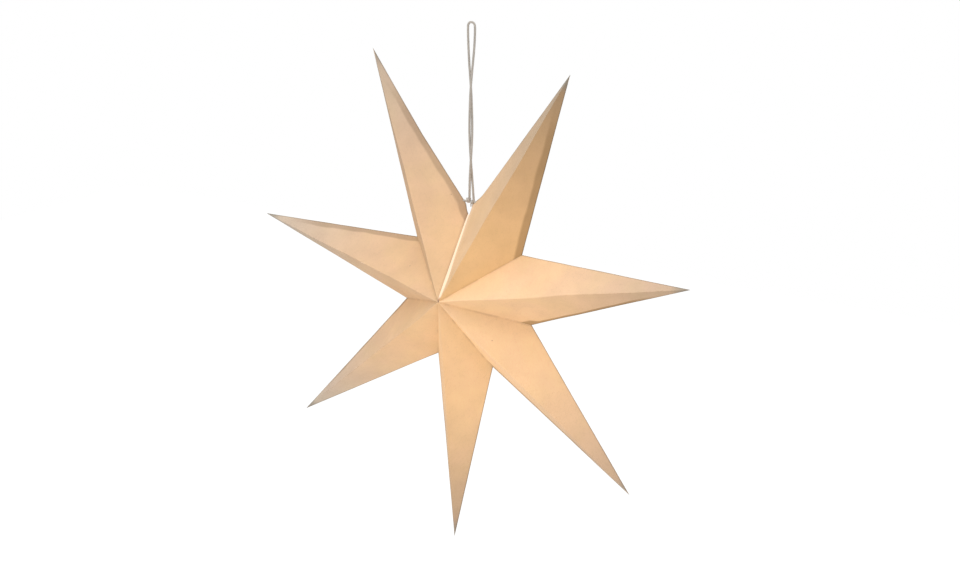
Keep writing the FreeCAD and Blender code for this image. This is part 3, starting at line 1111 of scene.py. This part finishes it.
class PAPERSTAR_OT_stage(bpy.types.Operator):
    """Camera, soft lights, white surround and pale floor"""

    bl_idname = "paperstar.stage"
    bl_label = "Stage"

    def execute(self, context):
        stage = context.scene.stage_setup
        middle = star_middle()
        turn = stage.azimuth
        rise = stage.elevation
        back = Vector((math.sin(turn) * math.cos(rise), -math.cos(turn) * math.cos(rise),
                       math.sin(rise)))
        right = Vector((math.cos(turn), math.sin(turn), 0))
        up = back.cross(right)
        data = bpy.data.cameras.new("camera")
        data.lens = stage.lens
        data.sensor_width = FILM_WIDTH_MM
        data.clip_end = VIEW_END
        camera = bpy.data.objects.new("camera", data)
        camera.matrix_world = Matrix((right, up, back)).transposed().to_4x4()
        camera.location = (middle + right * stage.aim_right + up * stage.aim_up
                           + back * stage.distance)
        context.scene.collection.objects.link(camera)
        context.scene.camera = camera
        self.surround(context, stage)
        self.floor(context, stage, middle)
        for name, (offset, size, tint) in SOFT_LAMPS.items():
            place = middle + Vector(offset)
            self.lamp(context, name, place, middle, size, getattr(stage, name), tint)
        context.scene.view_settings.view_transform = "Standard"
        return {"FINISHED"}

    def surround(self, context, stage):
        """Plain light from all round, and white where the camera or a reflection sees it."""
        world = bpy.data.worlds.new("surround")
        world.use_nodes = True
        context.scene.world = world
        graph = Graph("surround", world.node_tree)
        path = graph.add("LightPath", output="Is Camera Ray")
        seen = graph.math("MAXIMUM", path, graph.math("MAXIMUM", path.other("Is Glossy Ray"),
                                                      path.other("Is Transmission Ray")))
        light = graph.add("Background", {}, {"Color": WHITE, "Strength": stage.sky})
        white = graph.add("Background", {}, {"Color": WHITE, "Strength": 1.0})
        mixed = graph.add("MixShader", {}, {0: seen, 1: light, 2: white})
        graph.finish(mixed, "OutputWorld")

    def floor(self, context, stage, middle):
        """Pale floor that renders white and keeps the star's shadow."""
        half = stage.floor_size / 2
        height = middle.z - stage.floor_drop
        corners = [(x * half, y * half, height) for x, y in ((-1, -1), (1, -1), (1, 1), (-1, 1))]
        mesh = bpy.data.meshes.new("floor")
        mesh.from_pydata(corners, [], [(0, 1, 2, 3)])
        graph = Graph("floor")
        path = graph.add("LightPath", output="Is Camera Ray")
        pale = graph.add("BsdfDiffuse", {}, {"Color": PALE})
        lift = graph.add("Emission", {}, {"Color": WHITE, "Strength": path * FLOOR_LIFT})
        mesh.materials.append(graph.finish(graph.add("AddShader", {}, {0: pale, 1: lift})))
        floor = bpy.data.objects.new("floor", mesh)
        context.scene.collection.objects.link(floor)

    def lamp(self, context, name, place, target, size, power, tint):
        """A soft square lamp that faces the star."""
        data = bpy.data.lights.new(name, "AREA")
        data.size = size
        data.energy = power
        data.color = tint
        lamp = bpy.data.objects.new(name, data)
        lamp.rotation_euler = (place - target).to_track_quat("Z", "Y").to_euler()
        lamp.location = place
        context.scene.collection.objects.link(lamp)


class PAPERSTAR_OT_hanging_cord(bpy.types.Operator):
    """Twisted cord from the knot up over the hook and down to the wrap"""

    bl_idname = "paperstar.hanging_cord"
    bl_label = "Hanging cord"

    def execute(self, context):
        cord = context.scene.cord_sizes
        tie = tie_middle()
        route = smooth_route([tie + Vector(place) * MM for place in CORD_ROUTE])
        tubes = Tubes()
        tubes.rope(route, cord.diameter, cord.pitch)
        piece = new_piece("twisted_cord", tubes.vertices, tubes.faces,
                          [cord_material()])
        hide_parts("hanging_cord")
        return {"FINISHED"}


# The tie's twist as a share of the hanging cord's, its even steps in metres, and its end knots'
# yarn as a share of its diameter
TIE_PITCH = 0.7
TIE_SPACING = 0.0004
END_YARN = 0.28


class PAPERSTAR_OT_notch_tie(bpy.types.Operator):
    """Cord across the notch, with its knot, its wrap and an end knot in each corner"""

    bl_idname = "paperstar.notch_tie"
    bl_label = "Notch tie"

    def execute(self, context):
        cord = context.scene.cord_sizes
        tie = tie_middle() + UP * cord.tie_lift
        low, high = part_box("notch_tie")
        left = Vector((low[0] + cord.end_knot / 2, 0, tie.z))
        right = Vector((high[0] - cord.end_knot / 2 + cord.end_knot_slack, 0, tie.z))
        tubes = Tubes()
        tubes.rope([left, right], cord.tie_diameter, cord.pitch * TIE_PITCH,
                   spacing=TIE_SPACING)
        yarn = cord.tie_diameter * END_YARN
        for end in (left, right):
            tubes.knot(end, cord.end_knot, yarn)
        tubes.knot(tie + Vector((cord.knot_x, 0, cord.knot_lift)), cord.knot, cord.knot_yarn)
        wrap_yarn = (cord.wrap - cord.tie_diameter) / 4
        tubes.wrap(tie + Vector((cord.wrap_x, 0, 0)), cord.wrap, cord.wrap_length, wrap_yarn)
        piece = new_piece("knotted_tie", tubes.vertices, tubes.faces,
                          [bpy.data.materials["cord_yarn"]])
        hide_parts("notch_tie")
        return {"FINISHED"}


class PAPERSTAR_OT_star_points(bpy.types.Operator):
    """Seven folded sheets of fibre paper"""

    bl_idname = "paperstar.star_points"
    bl_label = "Star points"

    def execute(self, context):
        middle = star_middle()
        tips = star_tips()
        inside = inside_material(middle)
        for number, tip in enumerate(tips):
            outside = PointPaper(number, LOOKS[number], middle, tip).material()
            star_point(number, tips, middle, [outside, inside])
        return {"FINISHED"}


class PAPERSTAR_OT_lamp(bpy.types.Operator):
    """Finishes of the lamp's hook, housing and globe"""

    bl_idname = "paperstar.lamp"
    bl_label = "Lamp"

    def execute(self, context):
        finishes = {
            "lamp_hook": steel_material(),
            "lamp_housing": plastic_material(),
            "lamp_globe": globe_material(),
        }
        for node, material in finishes.items():
            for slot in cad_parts[node].material_slots:
                slot.material = material
        return {"FINISHED"}


class PAPERSTAR_PT_sidebar(bpy.types.Panel):
    """Sidebar panel with the star's steps"""

    bl_idname = "PAPERSTAR_PT_sidebar"
    bl_label = "Paper star"
    bl_space_type = "VIEW_3D"
    bl_region_type = "UI"
    bl_category = "Paper star"

    def draw(self, context):
        for step in STEPS:
            self.layout.operator(step.bl_idname)


STEPS = (
    PAPERSTAR_OT_stage,
    PAPERSTAR_OT_hanging_cord,
    PAPERSTAR_OT_notch_tie,
    PAPERSTAR_OT_star_points,
    PAPERSTAR_OT_lamp,
)

SETTINGS = {
    "star_sizes": StarSizes,
    "paper_finish": PaperFinish,
    "cord_sizes": CordSizes,
    "lamp_finish": LampFinish,
    "stage_setup": StageSetup,
}


def register():
    for group in SETTINGS.values():
        bpy.utils.register_class(group)
    for name, group in SETTINGS.items():
        setattr(bpy.types.Scene, name, PointerProperty(type=group))
    for step in STEPS:
        bpy.utils.register_class(step)
    bpy.utils.register_class(PAPERSTAR_PT_sidebar)


def unregister():
    bpy.utils.unregister_class(PAPERSTAR_PT_sidebar)
    for step in reversed(STEPS):
        bpy.utils.unregister_class(step)
    for name in SETTINGS:
        delattr(bpy.types.Scene, name)
    for group in SETTINGS.values():
        bpy.utils.unregister_class(group)


def main():
    """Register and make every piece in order."""
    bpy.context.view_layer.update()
    register()
    bpy.ops.paperstar.stage()
    bpy.ops.paperstar.hanging_cord()
    bpy.ops.paperstar.notch_tie()
    bpy.ops.paperstar.star_points()
    bpy.ops.paperstar.lamp()
    bpy.context.view_layer.update()


if __name__ == "__main__":
    main()
